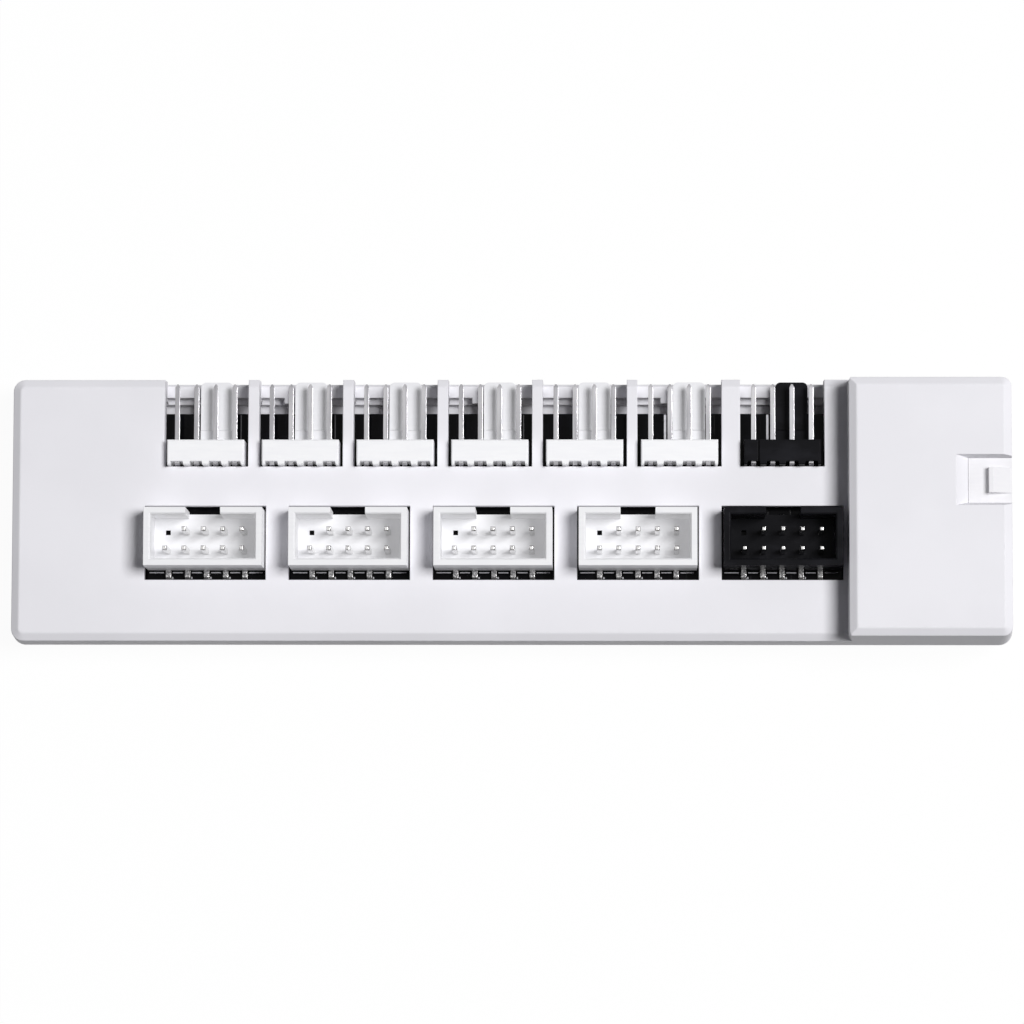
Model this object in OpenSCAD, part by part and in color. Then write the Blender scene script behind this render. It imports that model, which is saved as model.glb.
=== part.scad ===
// Hub that shares one supply and two control signals among fans and light strips.
// X runs along the length, Y towards the fan headers and Z up from the underside, in millimetres.
// Seven right-angle fan headers stand in open-backed bays. Five upright light headers stand in windows
// in front of them. The power header sits under the raised block at the right-hand end.

/* [Case] */
// Length where the two shells meet
case_length = 132.8; // [132:0.2:150]
// Width where the two shells meet
case_width = 35.2; // [35:0.2:42]
// Height of the deck over the underside
deck_height = 8.9; // [8.9:0.1:10]
// Height of the raised block over the underside
block_height = 14.2; // [14:0.1:18]
// Length of the raised block
block_length = 21.9; // [21:0.1:26]
// Height of the joint between the shells
joint_height = 4.4; // [4.2:0.1:4.8]
// Slope of the outer walls, in degrees
draft_angle = 3.3; // [0:0.1:4]
// Radius of the upright corners
corner_radius = 1.7; // [1.7:0.1:3]
// Width of the bevel round the deck and the block
bevel_width = 1.14; // [0.9:0.02:1.4]
// Slope of that bevel, in degrees
bevel_angle = 31; // [25:1:45]
// Thickness of the deck and of the block's top
deck_thick = 1.5; // [1:0.1:1.8]

/* [Bottom shell] */
// Thickness of the floor
floor_thick = 1.4; // [1:0.1:1.6]
// How far the bottom shell stands back from the cover's edge
shell_inset = 0.35; // [0.1:0.05:0.5]
// Width of the rim that the cover sits on
rim_width = 1.8; // [1.4:0.1:2]
// Width of the rebate that takes the cover's lip
rebate_width = 0.75; // [0.6:0.05:1]
// Depth of the rebate below the rim
rebate_depth = 1.6; // [1:0.1:2]
// Radius round the underside
foot_radius = 1; // [0.4:0.1:1.4]
// Width of the stop tabs in the back rebate
tab_width = 5; // [3:0.5:8]

/* [Circuit board] */
// Height of the space under the board
board_gap = 2.6; // [2.4:0.1:2.9]
// Thickness of the board
board_thick = 1.6; // [1.2:0.1:1.6]
// Distance from the shell's outer edge to the board's back edge
board_back_margin = 4.1; // [3.6:0.1:5]
// Clearance between the board and the walls at its other edges
board_clearance = 0.4; // [0.2:0.1:1]

/* [Fan headers] */
// Distance from one white fan header to the next
fan_pitch = 12.55; // [12.25:0.05:12.7]
// Distance from the last white fan header to the black one
signal_fan_gap = 13.6; // [13.2:0.05:14]
// Width of the bars between the bays
bar_width = 1.4; // [1.2:0.05:1.6]
// Distance from the back edge to the front of the bays
bay_length = 11.85; // [11.6:0.05:12.3]
// Width of a fan header's base
fan_base_width = 10.2; // [10:0.02:10.5]
// Height of a fan header's base over the board
fan_base_height = 4.7; // [4.4:0.1:6.5]
// Thickness of a fan header's base, without its ribs
fan_base_thick = 2.85; // [2.2:0.05:3.1]
// Depth of the ribs on the front of a fan header's base
fan_rib_depth = 0.5; // [0.4:0.05:0.7]
// Height of the fan pins over the board
fan_pin_height = 3.4; // [3:0.1:3.8]
// Length of the fan pins that stands out of the base
fan_pin_reach = 7.5; // [6:0.1:7.8]
// Length of the locking tongue
tongue_length = 7.95; // [6:0.05:8.2]
// Width of the locking tongue
tongue_width = 4.3; // [3:0.1:5]
// Thickness of the locking tongue
tongue_thick = 1.1; // [0.8:0.1:1.3]
// Gap between the tongue and the middle of the pins
tongue_gap = 1.75; // [1.5:0.05:2]

/* [Light headers] */
// Distance from one light header to the next
light_pitch = 19.1; // [18.6:0.05:19.4]
// Distance from the block's foot to the middle of the two black headers
signal_header_gap = 8.6; // [8.5:0.05:9.4]
// Distance from the case's middle to the middle of the light headers
light_header_y = 3.93; // [3.7:0.01:4.2]
// Width of a light header
light_width = 15.6; // [15:0.1:15.8]
// Depth of a light header
light_depth = 7.7; // [7.4:0.1:8]
// Height of a light header over the board
light_height = 7.8; // [7:0.1:9]
// Thickness of a light header's walls
light_wall = 0.92; // [0.7:0.02:1]
// Height of a light header's floor over the board
light_floor = 1.1; // [1:0.1:1.8]
// How far the tips of its pins stay below its rim
pin_recess = 0.9; // [0.5:0.1:2]
// How far its pins stand in front of its middle
pin_row_shift = 0.2; // [0:0.05:0.25]
// Width of the keyway in a light header's back wall
keyway_width = 4.6; // [4:0.1:5]
// Length of the front feet that stands out of a light header
foot_reach = 1.1; // [0.8:0.05:1.3]
// How far the back feet stay inside a light header
foot_recess = 0.2; // [0.1:0.05:0.4]
// Width of the windows in the deck
window_width = 16.1; // [15.9:0.1:16.4]
// Length of the windows, from back to front
window_length = 9.85; // [9.4:0.05:10.2]
// Gap between a light header and the back of its window
window_back_gap = 0.6; // [0.2:0.05:0.75]

/* [Power header] */
// Distance from the case's middle to the middle of the power header
power_y = 3.45; // [2.5:0.05:4]
// Width of the power header
power_width = 12.65; // [12.4:0.05:13.2]
// Height of the power header over the board
power_height = 7.35; // [7.1:0.05:7.4]
// Length of the power header, from back to mating face
power_length = 9.9; // [9:0.1:10.4]
// Thickness of the power header's walls
power_wall = 0.75; // [0.6:0.05:1]
// Distance between the power pins
power_pitch = 3; // [2.9:0.02:3.06]
// Height of the latch ramp over the power header
latch_height = 1.1; // [0.8:0.1:1.2]
// Width of the scoop over the latch, half way down its sides
scoop_width = 6.3; // [5:0.1:8]
// Length of the scoop's slope
scoop_slope = 1.7; // [1:0.05:4]
// Width of each sloping side of the scoop
scoop_side = 0.35; // [0.1:0.05:0.6]

/* [Pins and screws] */
// Distance between the pins of the fan and light headers
pin_pitch = 2.54; // [2.5:0.01:2.58]
// Thickness of the square pins
pin_size = 0.64; // [0.5:0.02:0.68]
// Length of the points of the pins
pin_point = 0.45; // [0.2:0.05:0.6]
// Length of the pin tails below the board
tail_length = 1.1; // [0.6:0.1:1.3]
// Diameter of the case screws
screw_d = 2; // [1.6:0.1:2.2]
// Diameter of the screw heads
screw_head_d = 3.8; // [3.4:0.1:4]
// Height of the screw heads
screw_head_height = 1.2; // [0.9:0.1:1.3]

/* [Hidden] */
$fn = 48;

// Clearances and small sizes that every fit shares
fit = 0.15;
cut = 1;
fine_gap = 0.1;
plated_hole_d = 1;
bevel_round = 0.5;
rim_bevel = 0.3;
boss_wall = 1.2;
block_corner = 1.3;

// White fan headers and light headers of each kind
fan_count = 6;
light_count = 5;

// Places along the length
left_end = -case_length / 2;
right_end = case_length / 2;
block_left = right_end - block_length;
signal_x = block_left - signal_header_gap;
last_fan_x = signal_x - signal_fan_gap;
fan_spots = [for (i = [fan_count - 1:-1:0]) last_fan_x - i * fan_pitch];
light_spots = [for (i = [light_count - 1:-1:0]) signal_x - i * light_pitch];
bay_spots = concat(fan_spots, [signal_x]);
bay_width = fan_pitch - bar_width;

// Places across the width
back_edge = case_width / 2;
bay_front = back_edge - bay_length;
shell_back = back_edge - shell_inset;
rim_inner = shell_back - rim_width;
shell_inner = rim_inner - rebate_width;
board_back = shell_back - board_back_margin;
board_front = -shell_inner + board_clearance;
fan_base_back = bay_front + fine_gap + fan_rib_depth + fan_base_thick;
light_y = -light_header_y;
window_back = light_y + light_depth / 2 + window_back_gap;
window_front = window_back - window_length;

// Heights
board_bottom = floor_thick + board_gap;
board_top = board_bottom + board_thick;
deck_under = deck_height - deck_thick;
block_under = block_height - deck_thick;
rebate_floor = joint_height - rebate_depth;
wall_slope = tan(draft_angle);
lip_depth = rebate_depth - fine_gap;
cover_wall = shell_inset + rim_width + rebate_width - fine_gap;
case_corner = max(corner_radius, bevel_width + lean(block_height) + fine_gap);

// Ends of the space inside and of the board
board_left = left_end + shell_inset + rim_width + rebate_width + board_clearance;
board_right = -board_left;
power_top = board_top + power_height;
power_face = right_end - (power_top - joint_height) * wall_slope;
power_back = power_face - power_length;

// Screw places, inside both ends of the case
screw_left_margin = 6;
screw_right_margin = 8;
screw_block_gap = 3.4;
screw_edge_gap = 2.5;
screw_left_x = left_end + screw_left_margin;
screw_right_x = right_end - screw_right_margin;
screw_y = board_back - screw_edge_gap;
screw_spots = [
    [screw_left_x, -screw_y],
    [screw_left_x, screw_y],
    [screw_right_x, -screw_y],
    [block_left + screw_block_gap, screw_y]
];
screw_seat = floor_thick + 0.3;
screw_boss_d = screw_head_d + 2 * boss_wall;
screw_hole_d = screw_d + 2 * fit;

// Points of an arc from one angle to another round a centre
function arc(x, y, r, from, to, steps) =
    [for (i = [0:steps]) let (a = from + (to - from) * i / steps) [x + r * cos(a), y + r * sin(a)]];

// How far the cover's wall has leaned in at a height, from its edge at the joint
function lean(z) = (z - joint_height) * wall_slope;

// Height from the top down to where the bevel starts on the wall
bevel_flat = bevel_width - bevel_round * sin(bevel_angle);
top_edge_drop = bevel_round * (1 - cos(bevel_angle)) + bevel_flat * tan(bevel_angle);

// Half section of the cover out of a corner's middle: drafted wall, flat bevel and a round into the top
function cover_section(radius, top) =
    let (
        wall_top = top - top_edge_drop,
        edge = radius - lean(wall_top)
    )
    concat(
        [[0, joint_height], [radius, joint_height], [edge, wall_top]],
        arc(edge - bevel_width, top - bevel_round, bevel_round, 90 - bevel_angle, 90, 5),
        [[0, top]]
    );

// Half section of the bottom shell: rounded foot, drafted wall and a small bevel at the rim
function shell_section(radius) =
    let (foot = radius - joint_height * wall_slope)
    concat(
        [[0, 0]],
        arc(foot - foot_radius, foot_radius, foot_radius, -90, 0, 6),
        [[radius, joint_height - rim_bevel], [radius - rim_bevel, joint_height], [0, joint_height]]
    );

// Solid with upright round corners, its outside given by a half section out of a corner's middle
module sectioned_block(x0, x1, y0, y1, radius, low, high) {
    left = x0 + radius;
    right = x1 - radius;
    front = y0 + radius;
    back = y1 - radius;
    translate([left, front, low])
        cube([right - left, back - front, high - low]);
    for (side = [[right, back, 0], [left, back, 90], [left, front, 180], [right, front, 270]])
        translate([side[0], side[1], 0])
            rotate([0, 0, side[2]])
                rotate_extrude(angle = 90)
                    children();
    for (side = [[right, front, 0, back - front], [left, back, 180, back - front],
                 [right, back, 90, right - left], [left, front, 270, right - left]])
        translate([side[0], side[1], 0])
            rotate([0, 0, side[2]])
                rotate([90, 0, 0])
                    mirror([0, 0, 1])
                        linear_extrude(side[3])
                            children();
}

// Upright prism with round corners
module rounded_prism(x0, x1, y0, y1, radius, low, high) {
    translate([0, 0, low])
        linear_extrude(high - low)
            union() {
                translate([x0 + radius, y0])
                    square([x1 - x0 - 2 * radius, y1 - y0]);
                translate([x0, y0 + radius])
                    square([x1 - x0, y1 - y0 - 2 * radius]);
                for (x = [x0 + radius, x1 - radius], y = [y0 + radius, y1 - radius])
                    translate([x, y])
                        circle(radius);
            }
}

// Box between two corners
module box(low, high) {
    translate(low)
        cube(high - low);
}

// Outline in Y and Z, drawn out along X and centred on it
module along_x(width) {
    rotate([90, 0, 90])
        translate([0, 0, -width / 2])
            linear_extrude(width)
                children();
}

// Screw posts, upright cylinders on the screw places
module at_screws() {
    for (spot = screw_spots)
        translate([spot[0], spot[1], 0])
            children();
}

// Deck and block from outside; the block's left side stands upright under its bevel, between rounded corners
module cover_outside() {
    r = case_corner;
    sectioned_block(left_end, right_end, -back_edge, back_edge, r, joint_height, deck_height)
        polygon(cover_section(r, deck_height));
    intersection() {
        sectioned_block(block_left - 2 * r, right_end, -back_edge, back_edge, r, joint_height, block_height)
            polygon(cover_section(r, block_height));
        rounded_prism(block_left, right_end + 2 * block_corner, -back_edge, back_edge, block_corner,
                      joint_height, block_height);
        translate([block_left, back_edge, 0])
            rotate([90, 0, 0])
                linear_extrude(case_width)
                    polygon(concat(
                        [[block_length, block_height], [block_length, joint_height], [0, joint_height],
                         [0, block_height - top_edge_drop]],
                        arc(bevel_width, block_height - bevel_round, bevel_round, 90 + bevel_angle, 90, 5)
                    ));
    }
}

// Space under the deck and under the block
module cover_inside() {
    wall = cover_wall;
    high_wall = cover_wall + lean(block_height);
    r = 1;
    rounded_prism(left_end + wall, right_end - wall, -back_edge + wall, back_edge - wall, r,
                  joint_height - cut, deck_under);
    rounded_prism(block_left + deck_thick, right_end - high_wall, -back_edge + high_wall,
                  back_edge - high_wall, r, joint_height, block_under);
}

// Bars that close the sides of each bay down to the board
module bay_bars() {
    for (x = bay_spots)
        box([x - bay_width / 2 - bar_width, bay_front, board_top + fit],
            [x + bay_width / 2 + bar_width, back_edge - cover_wall / 2, deck_under + fine_gap]);
}

// Lip that drops into the bottom shell's rebate
module cover_lip() {
    outer = shell_inset + rim_width + fine_gap;
    inner = cover_wall;
    low = joint_height - lip_depth;
    r = 1;
    difference() {
        rounded_prism(left_end + outer, right_end - outer, -back_edge + outer, back_edge - outer, r,
                      low, joint_height + fine_gap);
        rounded_prism(left_end + inner, right_end - inner, -back_edge + inner, back_edge - inner, r,
                      low - cut, joint_height + cut);
        for (x = bay_spots)
            box([x - bay_width / 2, 0, low - cut], [x + bay_width / 2, back_edge, joint_height + 2 * cut]);
    }
}

// Cut over the latch: a slope down to the power header's top, then level out through the end wall
scoop_flat = 5.7;

module latch_scoop() {
    top = block_height + cut;
    low = power_top + fit;
    flat_start = power_face - scoop_flat;
    slope_start = flat_start - scoop_slope;
    foot = (scoop_width - scoop_side) / 2;
    head = foot + scoop_side * (top - low) / (block_height - low);
    intersection() {
        translate([0, power_y + scoop_width, 0])
            rotate([90, 0, 0])
                linear_extrude(2 * scoop_width)
                    polygon([
                        [slope_start, block_height], [flat_start, low], [right_end + cut, low],
                        [right_end + cut, top], [slope_start, top]
                    ]);
        translate([right_end, power_y, 0])
            along_x(4 * (scoop_flat + scoop_slope))
                polygon([[-foot, low], [foot, low], [head, top], [-head, top]]);
    }
}

module top_cover() {
    color("white")
        difference() {
            union() {
                difference() {
                    cover_outside();
                    cover_inside();
                }
                bay_bars();
                cover_lip();
                for (spot = screw_spots)
                    translate([spot[0], spot[1], board_top])
                        cylinder(d = screw_d + 2 * boss_wall,
                                 h = (spot[0] > block_left ? block_under : deck_under) - board_top + fit);
            }
            for (x = bay_spots)
                box([x - bay_width / 2, bay_front, joint_height - cut],
                    [x + bay_width / 2, back_edge + cut, deck_height + cut]);
            for (x = light_spots)
                box([x - window_width / 2, window_front, deck_under - cut],
                    [x + window_width / 2, window_back, deck_height + cut]);
            latch_scoop();
            box([power_back - fit, power_y - power_width / 2 - fit, joint_height - rebate_depth - cut],
                [right_end + cut, power_y + power_width / 2 + fit, power_top + fit]);
            at_screws()
                translate([0, 0, board_top - cut])
                    cylinder(d = screw_d, h = cut + deck_under + 0.8 - board_top);
        }
}

module bottom_shell() {
    x0 = left_end + shell_inset;
    x1 = right_end - shell_inset;
    rebate = rim_width;
    inner = rim_width + rebate_width;
    color("white")
        difference() {
            union() {
                difference() {
                    sectioned_block(x0, x1, -shell_back, shell_back, corner_radius, 0, joint_height)
                        polygon(shell_section(corner_radius));
                    rounded_prism(x0 + inner, x1 - inner, -shell_inner, shell_inner, 1,
                                  floor_thick, joint_height + cut);
                    difference() {
                        rounded_prism(x0 + rebate, x1 - rebate, -rim_inner, rim_inner, 1,
                                      rebate_floor, joint_height + cut);
                        for (i = [1, 3, 5])
                            if (i < len(fan_spots))
                                box([fan_spots[i] - tab_width / 2, shell_inner - fine_gap, 0],
                                    [fan_spots[i] + tab_width / 2, back_edge, joint_height + 2 * cut]);
                    }
                }
                at_screws()
                    cylinder(d = screw_boss_d, h = board_bottom);
                board_rests();
                power_sill();
            }
            at_screws() {
                translate([0, 0, -cut])
                    cylinder(d = screw_head_d + 2 * fit, h = screw_seat + cut);
                cylinder(d = screw_hole_d, h = board_bottom + cut);
            }
        }
}

// Ribs on the shell's floor that carry the board along its front and back edges
module board_rests() {
    rest_width = 1.4;
    for (x = light_spots) {
        box([x - rest_width / 2, -shell_inner - fine_gap, floor_thick - fine_gap],
            [x + rest_width / 2, board_front + 2, board_bottom]);
        box([x + light_pitch / 2 - rest_width, board_back - 2, floor_thick - fine_gap],
            [x + light_pitch / 2, board_back, board_bottom]);
    }
}

// Step in the shell's end wall that closes the cover's notch below the power header
module power_sill() {
    lip = shell_inset + rim_width;
    box([right_end - lip, power_y - power_width / 2, joint_height - fine_gap],
        [right_end - shell_inset - rim_bevel, power_y + power_width / 2, board_top - fine_gap]);
}

module circuit_board() {
    color("#16161a")
        difference() {
            rounded_prism(board_left, board_right, board_front, board_back, 0.8, board_bottom, board_top);
            for (x = bay_spots)
                translate([x, fan_tail_y, board_bottom - cut])
                    for (i = [-1.5:1.5])
                        translate([i * pin_pitch, 0, 0])
                            cylinder(d = plated_hole_d, h = board_thick + 2 * cut);
            for (row = [0, 1], i = [-1:1])
                translate([power_tail_x - row * power_pitch, power_y + i * power_pitch, board_bottom - cut])
                    cylinder(d = plated_hole_d, h = board_thick + 2 * cut);
            at_screws()
                cylinder(d = screw_hole_d, h = board_top + cut);
        }
}

// Four self-tapping screws with cross recesses in their heads
module case_screws() {
    slot = [0.5, 2];
    color("silver")
        at_screws()
            difference() {
                union() {
                    translate([0, 0, screw_seat - screw_head_height])
                        cylinder(d = screw_head_d, h = screw_head_height);
                    translate([0, 0, screw_seat - fine_gap])
                        cylinder(d = screw_d, h = deck_under + 0.4 - screw_seat);
                }
                for (turn = [0, 90])
                    rotate([0, 0, turn])
                        translate([-slot[0] / 2, -slot[1] / 2, 0])
                            cube([slot[0], slot[1], screw_seat - screw_head_height + 0.7]);
            }
}

// Where the fan pins bend down, in front of the header's base
fan_tail_y = bay_front + fine_gap + pin_size / 2;
// The tongue is under the second pin from the right
tongue_x = pin_pitch / 2;
// Only the black header has a groove across its base, beside its left-hand pin
groove_x = -1.5 * pin_pitch + 0.65;
groove_size = [0.2, 0.4];

// Fan header housing: a base with ribs between the pins in front and a locking tongue behind
module fan_header(x, finish, grooved = false) {
    base_front = fan_base_back - fan_base_thick;
    rib_front = base_front - fan_rib_depth;
    axis = board_top + fan_pin_height;
    tongue_top = axis - tongue_gap;
    half = fan_base_width / 2;
    rib_root = 0.5;
    rib_tip = 0.38;
    color(finish)
        translate([x, 0, 0])
            difference() {
                union() {
                    translate([0, 0, board_top])
                        linear_extrude(fan_base_height)
                            fan_base_outline(base_front, rib_front, half, rib_root, rib_tip);
                    translate([tongue_x, 0, tongue_top - tongue_thick])
                        linear_extrude(tongue_thick)
                            tongue_outline();
                    tongue_root(tongue_top);
                }
                if (grooved)
                    translate([groove_x, fan_base_back, board_top + fan_base_height])
                        cube([groove_size[0], 3 * fan_base_thick, 2 * groove_size[1]], center = true);
                for (i = [-1.5:1.5])
                    translate([i * pin_pitch, 0, 0]) {
                        translate([0, base_front + fan_base_thick / 2, axis])
                            cube([pin_size, fan_base_thick + cut, pin_size], center = true);
                        box([-pin_size / 2 - fine_gap, rib_front, board_top - cut],
                            [pin_size / 2 + fine_gap, fan_tail_y + pin_size / 2, axis + pin_size / 2]);
                    }
                top_edges(half, base_front);
            }
}

// Plan of the base: a bar with tapered ribs between the pins and at both ends
module fan_base_outline(base_front, rib_front, half, root, tip) {
    translate([-half, base_front])
        square([2 * half, fan_base_thick]);
    for (i = [-1:1])
        polygon([
            [i * pin_pitch - root, base_front + fine_gap], [i * pin_pitch - tip, rib_front],
            [i * pin_pitch + tip, rib_front], [i * pin_pitch + root, base_front + fine_gap]
        ]);
    for (side = [-1, 1])
        polygon([
            [side * half, base_front + fine_gap], [side * (half - 0.05), rib_front],
            [side * (half - tip), rib_front], [side * (half - root), base_front + fine_gap]
        ]);
}

// Small bevels along the base's top edges
module top_edges(half, base_front) {
    size = 0.2;
    top = board_top + fan_base_height;
    for (y = [fan_base_back, base_front - fan_rib_depth])
        translate([0, y, top])
            rotate([45, 0, 0])
                cube([2 * half + cut, size, size], center = true);
    for (side = [-half, half])
        translate([side, (fan_base_back + base_front) / 2, top])
            rotate([0, 45, 0])
                cube([size, fan_base_thick + 2 * cut, size], center = true);
}

// Plan of the tongue, with round corners at its free end
module tongue_outline() {
    r = 0.7;
    tip = fan_base_back + tongue_length;
    translate([-tongue_width / 2, fan_base_back - fine_gap])
        square([tongue_width, tongue_length - r + fine_gap]);
    translate([-tongue_width / 2 + r, fan_base_back])
        square([tongue_width - 2 * r, tongue_length]);
    for (side = [-1, 1])
        translate([side * (tongue_width / 2 - r), tip - r])
            circle(r);
}

// Low step on the tongue's root, and the web under it that carries the tongue
module tongue_root(tongue_top) {
    step_length = 1.5;
    step_height = 0.2;
    web_inset = 0.5;
    web_foot = 1.2;
    web_head = 2.6;
    translate([tongue_x, 0, 0]) {
        along_x(tongue_width)
            polygon([
                [fan_base_back - fine_gap, tongue_top - fine_gap],
                [fan_base_back - fine_gap, tongue_top + step_height],
                [fan_base_back + step_length, tongue_top + step_height],
                [fan_base_back + step_length + step_height, tongue_top - fine_gap]
            ]);
        along_x(tongue_width - 2 * web_inset)
            polygon([
                [fan_base_back - fine_gap, board_top], [fan_base_back + web_foot, board_top],
                [fan_base_back + web_head, tongue_top - tongue_thick + fine_gap],
                [fan_base_back - fine_gap, tongue_top - tongue_thick + fine_gap]
            ]);
    }
}

// Four square pins, each pointed at its free end and bent down through the board
module fan_pins(x) {
    axis = board_top + fan_pin_height;
    h = pin_size / 2;
    tip = fan_base_back + fan_pin_reach;
    foot = board_bottom - tail_length;
    bend = 2 * h;
    color("silver")
        for (i = [-1.5:1.5])
            translate([x + i * pin_pitch, 0, 0])
                intersection() {
                    along_x(pin_size)
                        polygon(concat(
                            [[tip - pin_point, axis - h], [tip, axis - h / 3], [tip, axis + h / 3],
                             [tip - pin_point, axis + h]],
                            arc(fan_tail_y - h + bend, axis + h - bend, bend, 90, 180, 5),
                            [[fan_tail_y - h, foot + h], [fan_tail_y - h / 2, foot],
                             [fan_tail_y + h / 2, foot], [fan_tail_y + h, foot + h],
                             [fan_tail_y + h, axis - h]]
                        ));
                    translate([0, 0, foot - cut])
                        linear_extrude(axis - foot + 2 * cut)
                            polygon([
                                [-h, fan_tail_y - bend], [h, fan_tail_y - bend], [h, tip - pin_point],
                                [h / 3, tip], [-h / 3, tip], [-h, tip - pin_point]
                            ]);
                }
}

// Places of the pins in a light header: the key is the empty place at the back on the left
function light_pin_place(column, row) = [column * pin_pitch, row * pin_pitch / 2 - pin_row_shift];
key_column = -2;
light_pin_spots = [
    for (row = [-1, 1], column = [-2:2])
        if (row < 0 || column != key_column) light_pin_place(column, row)
];

// Light header housing: a shroud with a keyway behind and slots for the feet under its floor
module light_header(x, finish) {
    w = light_width / 2;
    d = light_depth / 2;
    stand = 0.15;
    floor_recess = 0.35;
    rim = board_top + light_height;
    low = board_top + light_floor;
    color(finish)
        translate([x, light_y, 0])
            difference() {
                box([-w, -d, board_top + stand], [w, d, rim]);
                box([-w + light_wall, -d + light_wall, low], [w - light_wall, d - light_wall, rim + cut]);
                box([-keyway_width / 2, d - light_wall, low], [keyway_width / 2, d + cut, rim + cut]);
                box([-keyway_width / 2, d - floor_recess, board_top], [keyway_width / 2, d + cut, rim + cut]);
                mouth_bevel(w - light_wall, d - light_wall, rim);
                for (spot = concat(light_pin_spots, [light_pin_place(key_column, 1)]))
                    translate([spot[0], spot[1], low])
                        cube([pin_size, pin_size, 2 * light_floor], center = true);
                for (column = [-2:2], side = [-1, 1])
                    translate([column * pin_pitch, side * (d + pin_pitch / 2) / 2, board_top])
                        cube([pin_size + 2 * fine_gap, d, 2 * (pin_size + fine_gap)], center = true);
                for (end = [-w, w])
                    translate([end, 0, board_top])
                        cube([2.4, light_depth / 3, 2 * (stand + 0.4)], center = true);
            }
}

// Small bevel round the mouth of the shroud, where two wedge profiles cross
module mouth_bevel(w, d, rim) {
    size = 0.18;
    reach = 2 * size;
    intersection() {
        along_x(2 * w + 4 * reach)
            mouth_wedge(d, reach, rim - size, rim + size);
        rotate([90, 0, 0])
            linear_extrude(2 * d + 4 * reach, center = true)
                mouth_wedge(w, reach, rim - size, rim + size);
    }
}

module mouth_wedge(half, reach, low, high) {
    polygon([[-half, low], [half, low], [half + reach, high], [-half - reach, high]]);
}

// Nine square pins, each bent outwards at its bottom into a flat foot on the board
module light_pins(x) {
    h = pin_size / 2;
    blunt = h * 0.6;
    point = pin_point * 0.6;
    tip = board_top + light_height - pin_recess;
    bend = 1.2 * h;
    foot_top = board_top + pin_size;
    color("silver")
        for (spot = light_pin_spots) {
            end = light_depth / 2 - abs(spot[1]) + (spot[1] < 0 ? foot_reach : -foot_recess);
            translate([x + spot[0], light_y + spot[1], 0])
                mirror([0, spot[1] < 0 ? 1 : 0, 0])
                    intersection() {
                        along_x(pin_size)
                            polygon(concat(
                                [[h, foot_top], [h, tip - point], [blunt, tip],
                                 [-blunt, tip], [-h, tip - point]],
                                arc(bend - h, board_top + bend, bend, 180, 270, 5),
                                [[end - fine_gap, board_top], [end, board_top + fine_gap],
                                 [end, foot_top - fine_gap], [end - fine_gap, foot_top]]
                            ));
                        union() {
                            box([-h, -h, board_top], [h, end, foot_top + fine_gap]);
                            rotate([90, 0, 0])
                                linear_extrude(2 * pin_size, center = true)
                                    polygon([
                                        [-h, foot_top], [h, foot_top], [h, tip - point],
                                        [blunt, tip], [-blunt, tip], [-h, tip - point]
                                    ]);
                        }
                    }
        }
}

// Where the first row of power pins goes through the board, behind the housing
power_tail_gap = 1.4;
power_tail_x = power_back - power_tail_gap;
power_rows = [-0.5, 0.5];
power_axis = board_top + power_height / 2;
power_floor = 3;

// Power header housing: a shroud open at the end of the case, with a latch ramp on its top
module power_header() {
    w = power_width / 2;
    inner_w = w - power_wall;
    inner_h = power_height / 2 - power_wall;
    ramp_width = 3.35;
    ramp_length = 3.1;
    ramp_top = 0.6;
    key = 0.8;
    color("white")
        translate([0, power_y, 0])
            difference() {
                union() {
                    box([power_back, -w, board_top], [power_face, w, power_top]);
                    translate([0, ramp_width / 2, 0])
                        rotate([90, 0, 0])
                            linear_extrude(ramp_width)
                                polygon([
                                    [power_face - ramp_length, power_top - fine_gap],
                                    [power_face - ramp_length, power_top + latch_height],
                                    [power_face - ramp_length + ramp_top, power_top + latch_height],
                                    [power_face - 0.1, power_top], [power_face - 0.1, power_top - fine_gap]
                                ]);
                }
                translate([power_back + power_floor, 0, power_axis])
                    rotate([90, 0, 90])
                        linear_extrude(power_length)
                            polygon([
                                [-inner_w, -inner_h + key], [-inner_w + key, -inner_h],
                                [inner_w - key, -inner_h], [inner_w, -inner_h + key],
                                [inner_w, inner_h], [-inner_w, inner_h]
                            ]);
                for (row = power_rows, i = [-1:1])
                    translate([power_back, i * power_pitch, power_axis + row * power_pitch])
                        cube([3 * power_floor, pin_size, pin_size], center = true);
            }
}

// Six square pins of the power header, bent down in two rows behind it
power_pin_recess = 1.2;

module power_pins() {
    h = pin_size / 2;
    tip = power_face - power_pin_recess;
    foot = board_bottom - tail_length;
    bend = 2 * h;
    color("silver")
        for (row = power_rows, i = [-1:1]) {
            axis = power_axis + row * power_pitch;
            tail = power_tail_x - (row > 0 ? power_pitch : 0);
            translate([0, power_y + i * power_pitch, 0])
                intersection() {
                    rotate([90, 0, 0])
                        linear_extrude(pin_size, center = true)
                            polygon(concat(
                                [[tip - pin_point, axis - h], [tip, axis - h / 3], [tip, axis + h / 3],
                                 [tip - pin_point, axis + h]],
                                arc(tail - h + bend, axis + h - bend, bend, 90, 180, 5),
                                [[tail - h, foot + h], [tail - h / 2, foot], [tail + h / 2, foot],
                                 [tail + h, foot + h], [tail + h, axis - h]]
                            ));
                    translate([0, 0, foot - cut])
                        linear_extrude(axis - foot + 2 * cut)
                            polygon([
                                [tail - bend, -h], [tip - pin_point, -h], [tip, -h / 3],
                                [tip, h / 3], [tip - pin_point, h], [tail - bend, h]
                            ]);
                }
        }
}

// Supply capacitor, in the front of the block beside the power header
capacitor_d = 6.3;
capacitor_height = 5.8;
capacitor_foot = 0.8;
capacitor_rim = 0.15;
capacitor_gap = 2.4;
power_side = power_y - power_width / 2;
capacitor_x = (block_left + power_back) / 2 + 3 * capacitor_rim;
capacitor_y = power_side - capacitor_gap - capacitor_rim - capacitor_d / 2;

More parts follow.
